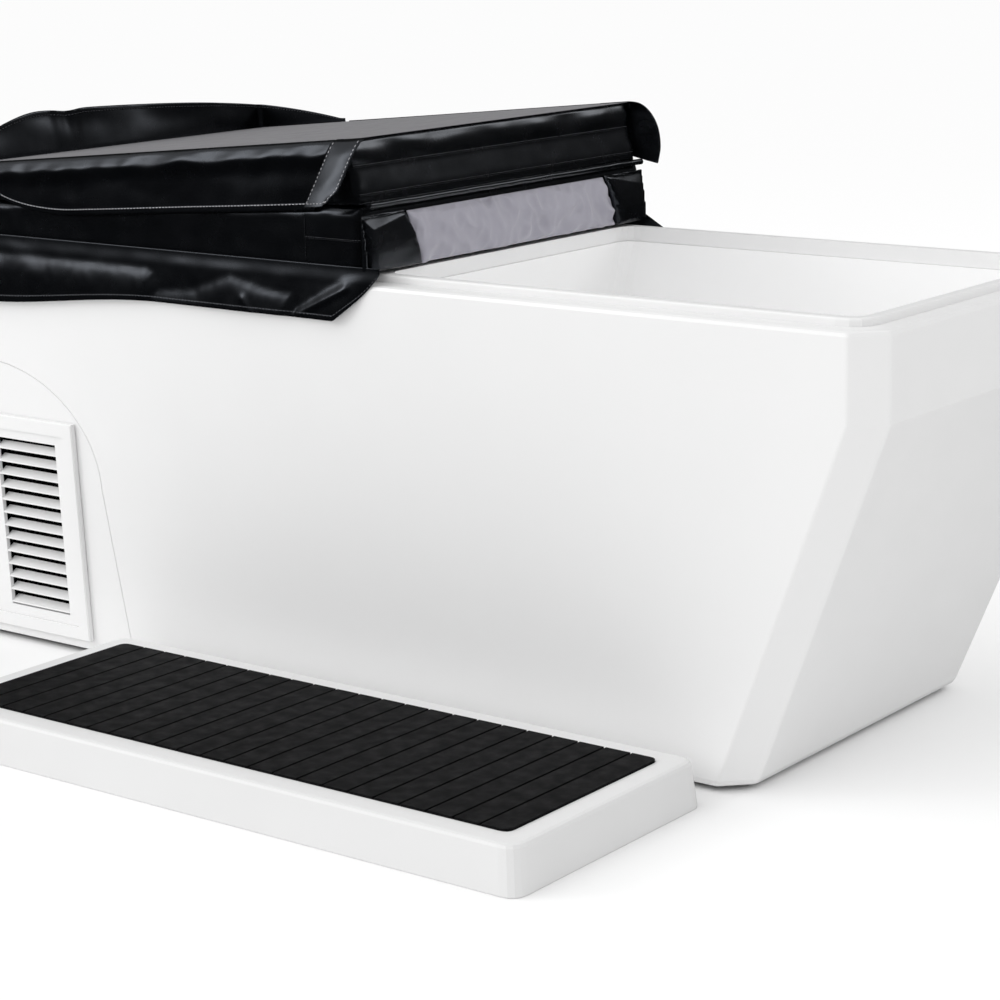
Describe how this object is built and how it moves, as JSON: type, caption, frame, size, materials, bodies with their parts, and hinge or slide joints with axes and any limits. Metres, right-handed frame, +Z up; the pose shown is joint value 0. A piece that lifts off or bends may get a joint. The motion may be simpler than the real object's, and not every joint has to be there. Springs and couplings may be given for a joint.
{
  "type": "cold plunge tub",
  "caption": "White moulded cold plunge tub with a tapered folding black cover, an undercut end, a louvred service panel over a chiller bay and a low step with a ribbed mat.",
  "frame": {"origin": "on the floor under the middle of the tub, on the foot of the middle runner", "axes": "+X along the tub to the undercut open end, -Y to the near side with the service panel and the step, +Z up"},
  "size_m": [2.1741, 1.2817, 0.9323],
  "materials": {
    "shell_white": "satin moulded plastic",
    "liner_white": "smooth moulded plastic",
    "foam": "cut foam",
    "board_grey": "dull board",
    "runner_rubber": "dull",
    "cover_vinyl": "soft sheen vinyl with a fine grain",
    "cover_grey": "coated woven cloth",
    "zinc_sheet": "zinc plated sheet",
    "coil_alloy": "mill",
    "black_enamel": "enamel",
    "dark_plastic": "moulded",
    "pipe_white": "smooth pipe",
    "cartridge_paper": "pleated paper",
    "valve_steel": "brushed",
    "lever_red": "dipped",
    "mat_rubber": "ribbed foam rubber"
  },
  "bodies": {
    "tub": {"outer_shell": "shell_white", "rim_deck": "shell_white", "basin_liner": "liner_white", "basin_insulation": "foam", "base_board": "board_grey", "base_runner_left": "runner_rubber", "base_runner_middle": "runner_rubber", "base_runner_right": "runner_rubber", "cover_lower_panel": "cover_vinyl", "fold_welt": "cover_vinyl", "fold_seal_pad": "cover_grey", "fold_gusset_near": "cover_vinyl", "fold_gusset_far": "cover_vinyl", "lower_skirt_near": "cover_vinyl", "lower_skirt_far": "cover_vinyl", "lower_skirt_end": "cover_vinyl", "chiller_tray": "zinc_sheet", "condenser_coil": "coil_alloy", "fan_shroud": "black_enamel", "fan_bracket": "zinc_sheet", "fan_motor": "black_enamel", "compressor": "black_enamel", "heat_exchanger": "pipe_white", "control_box": "dark_plastic", "filter_housing": "dark_plastic", "filter_cartridge": "cartridge_paper", "circulation_pump": "dark_plastic", "suction_pipe": "pipe_white", "pump_pipe": "pipe_white", "feed_pipe": "pipe_white", "return_pipe": "pipe_white", "suction_fitting": "pipe_white", "return_fitting": "pipe_white", "drain_fitting": "pipe_white", "drain_pipe": "pipe_white", "drain_valve": "valve_steel", "step_tray": "shell_white", "step_mat": "mat_rubber"},
    "cover_top": {"cover_upper_panel": "cover_vinyl", "upper_flap_end": "cover_vinyl"},
    "near_flap": {"upper_flap_near": "cover_vinyl", "upper_tab_near": "cover_vinyl"},
    "far_flap": {"upper_flap_far": "cover_vinyl", "upper_tab_far": "cover_vinyl"},
    "service_door": {"service_panel": "shell_white", "louvre_frame": "shell_white", "louvre_grille": "shell_white"},
    "fan": {"fan_rotor": "dark_plastic"},
    "filter_cap": {"filter_lid": "dark_plastic"},
    "drain_handle": {"drain_lever": "lever_red"}
  },
  "joints": [
    {"name": "cover_fold", "type": "hinge", "parent": "tub", "child": "cover_top", "pos_m": [0.19497, 0, 0.8248], "axis": [0, 1, 0], "range_deg": [0, 185.2]},
    {"name": "near_flap_fold", "type": "hinge", "parent": "cover_top", "child": "near_flap", "pos_m": [0.1853, -0.389, 0.93086], "axis": [-0.9959, 0, -0.0908], "range_deg": [0, 180]},
    {"name": "far_flap_fold", "type": "hinge", "parent": "cover_top", "child": "far_flap", "pos_m": [0.1853, 0.389, 0.93086], "axis": [0.9959, 0, 0.0908], "range_deg": [0, 180]},
    {"name": "service_door_pull", "type": "slide", "parent": "tub", "child": "service_door", "axis": [0, -0.9989, -0.0465], "range_m": [0, 0.12]},
    {"name": "fan_spin", "type": "hinge", "parent": "tub", "child": "fan", "pos_m": [-0.685, -0.2277, 0.198], "axis": [0, 1, 0], "continuous": true},
    {"name": "filter_cap_turn", "type": "hinge", "parent": "tub", "child": "filter_cap", "pos_m": [-0.23503, -0.15233, 0.437], "axis": [0, 0, 1], "range_deg": [0, 90]},
    {"name": "drain_handle_turn", "type": "hinge", "parent": "tub", "child": "drain_handle", "pos_m": [0.24977, 0.3899, 0.0943], "axis": [0, 0, 1], "range_deg": [0, 90]}
  ],
  "couplings": [
    {"joint": "near_flap_fold", "follows": "cover_fold", "ratio": 0.9719},
    {"joint": "far_flap_fold", "follows": "cover_fold", "ratio": 0.9719}
  ]
}
